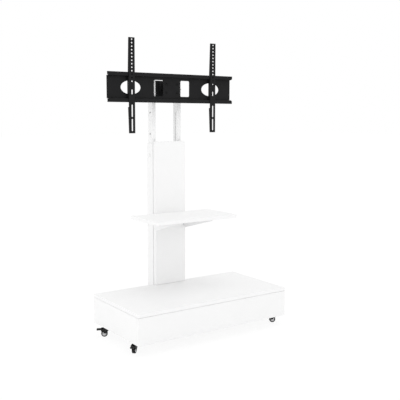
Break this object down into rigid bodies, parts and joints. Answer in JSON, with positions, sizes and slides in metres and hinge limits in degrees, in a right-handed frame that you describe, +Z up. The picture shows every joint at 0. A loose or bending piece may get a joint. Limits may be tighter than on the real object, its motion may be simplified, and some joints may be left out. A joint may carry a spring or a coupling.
{
  "type": "rolling tv stand",
  "caption": "Rolling TV stand: low drawer cabinet on braked casters, telescoping twin-post column with cover panel and shelf, and a swivelling screen mount with hook-on arms.",
  "frame": {"origin": "on the floor under the middle of the whole stand", "axes": "+X to the right seen from the front, +Y to the back, +Z up"},
  "size_m": [0.8592, 0.4764, 1.3705],
  "materials": {
    "white_board": "white laminate, satin",
    "white_steel": "white powder coat",
    "white_plastic": "white moulded",
    "black_steel": "black powder coat",
    "zinc_steel": "zinc plated",
    "beech": "plain turned beech",
    "caster_metal": "black paint",
    "wheel_grey": "light grey nylon",
    "wheel_rubber": "black tread",
    "pedal_plastic": "black moulded"
  },
  "bodies": {
    "base": {"base_top_panel": "white_board", "base_left_side": "white_board", "base_right_side": "white_board", "base_back_panel": "white_board", "base_bottom_panel": "white_board", "column_cover_panel": "white_board", "shelf_board": "white_board", "left_outer_post": "white_steel", "right_outer_post": "white_steel", "left_shelf_bracket": "white_steel", "right_shelf_bracket": "white_steel", "cover_brackets": "white_steel", "height_lock_bolts": "white_steel", "post_guide_bushes": "white_plastic", "post_foot_caps": "white_plastic", "post_base_bolts": "zinc_steel", "cover_screws": "zinc_steel", "shelf_screws": "zinc_steel", "caster_plate_screws": "zinc_steel", "runner_outer_members": "zinc_steel", "carcass_dowels": "beech", "caster_plates": "caster_metal"},
    "drawer": {"drawer_front": "white_board", "drawer_box_front": "white_board", "drawer_left_side": "white_board", "drawer_right_side": "white_board", "drawer_back": "white_board", "drawer_bottom": "white_board", "drawer_screws": "zinc_steel", "runner_inner_members": "zinc_steel"},
    "mast": {"left_inner_post": "white_steel", "right_inner_post": "white_steel", "post_slide_plugs": "white_plastic", "post_top_caps": "white_plastic", "mast_bracket": "black_steel", "mast_bracket_bolts": "black_steel", "pivot_bracket": "black_steel", "pivot_bracket_bolts": "black_steel", "swivel_pin": "black_steel"},
    "swivel_mount": {"swivel_head": "black_steel", "mount_rail": "black_steel", "rail_bolts": "black_steel"},
    "left_arm": {"left_screen_arm": "black_steel"},
    "right_arm": {"right_screen_arm": "black_steel"},
    "front_left_caster": {"front_left_fork": "caster_metal"},
    "front_left_wheel": {"front_left_wheel_core": "wheel_grey", "front_left_tyre": "wheel_rubber"},
    "front_left_pedal": {"front_left_brake_pedal": "pedal_plastic"},
    "front_right_caster": {"front_right_fork": "caster_metal"},
    "front_right_wheel": {"front_right_wheel_core": "wheel_grey", "front_right_tyre": "wheel_rubber"},
    "front_right_pedal": {"front_right_brake_pedal": "pedal_plastic"},
    "back_left_caster": {"back_left_fork": "caster_metal"},
    "back_left_wheel": {"back_left_wheel_core": "wheel_grey", "back_left_tyre": "wheel_rubber"},
    "back_left_pedal": {"back_left_brake_pedal": "pedal_plastic"},
    "back_right_caster": {"back_right_fork": "caster_metal"},
    "back_right_wheel": {"back_right_wheel_core": "wheel_grey", "back_right_tyre": "wheel_rubber"},
    "back_right_pedal": {"back_right_brake_pedal": "pedal_plastic"}
  },
  "joints": [
    {"name": "drawer_slide", "type": "slide", "parent": "base", "child": "drawer", "axis": [0, -1, 0], "range_m": [0, 0.25]},
    {"name": "column_height", "type": "slide", "parent": "base", "child": "mast", "axis": [0, 0, 1], "range_m": [-0.103, 0.103]},
    {"name": "mount_swivel", "type": "hinge", "parent": "mast", "child": "swivel_mount", "pos_m": [0, 0.16185, 1.1462], "axis": [0, 0, 1], "range_deg": [-20, 20]},
    {"name": "left_arm_slide", "type": "slide", "parent": "swivel_mount", "child": "left_arm", "axis": [1, 0, 0], "range_m": [-0.0847, 0.1193]},
    {"name": "right_arm_slide", "type": "slide", "parent": "swivel_mount", "child": "right_arm", "axis": [1, 0, 0], "range_m": [-0.1193, 0.0847]},
    {"name": "front_left_swivel", "type": "hinge", "parent": "base", "child": "front_left_caster", "pos_m": [-0.379, -0.15615, 0.048], "axis": [0, 0, 1], "continuous": true},
    {"name": "front_left_roll", "type": "hinge", "parent": "front_left_caster", "child": "front_left_wheel", "pos_m": [-0.39216, -0.16843, 0.015], "axis": [0.682, -0.7314, 0], "continuous": true},
    {"name": "front_left_brake", "type": "hinge", "parent": "front_left_caster", "child": "front_left_pedal", "pos_m": [-0.39948, -0.17525, 0.03552], "axis": [0.682, -0.7314, 0], "range_deg": [0, 14]},
    {"name": "front_right_swivel", "type": "hinge", "parent": "base", "child": "front_right_caster", "pos_m": [0.379, -0.15615, 0.048], "axis": [0, 0, 1], "continuous": true},
    {"name": "front_right_roll", "type": "hinge", "parent": "front_right_caster", "child": "front_right_wheel", "pos_m": [0.39459, -0.16515, 0.015], "axis": [0.5, 0.866, 0], "continuous": true},
    {"name": "front_right_brake", "type": "hinge", "parent": "front_right_caster", "child": "front_right_pedal", "pos_m": [0.40325, -0.17015, 0.03552], "axis": [0.5, 0.866, 0], "range_deg": [0, 14]},
    {"name": "back_left_swivel", "type": "hinge", "parent": "base", "child": "back_left_caster", "pos_m": [-0.379, 0.09685, 0.048], "axis": [0, 0, 1], "continuous": true},
    {"name": "back_left_roll", "type": "hinge", "parent": "back_left_caster", "child": "back_left_wheel", "pos_m": [-0.39459, 0.10585, 0.015], "axis": [-0.5, -0.866, 0], "continuous": true},
    {"name": "back_left_brake", "type": "hinge", "parent": "back_left_caster", "child": "back_left_pedal", "pos_m": [-0.40325, 0.11085, 0.03552], "axis": [-0.5, -0.866, 0], "range_deg": [0, 14]},
    {"name": "back_right_swivel", "type": "hinge", "parent": "base", "child": "back_right_caster", "pos_m": [0.379, 0.09685, 0.048], "axis": [0, 0, 1], "continuous": true},
    {"name": "back_right_roll", "type": "hinge", "parent": "back_right_caster", "child": "back_right_wheel", "pos_m": [0.39375, 0.10717, 0.015], "axis": [-0.5736, 0.8192, 0], "continuous": true},
    {"name": "back_right_brake", "type": "hinge", "parent": "back_right_caster", "child": "back_right_pedal", "pos_m": [0.40194, 0.11291, 0.03552], "axis": [-0.5736, 0.8192, 0], "range_deg": [0, 14]}
  ]
}
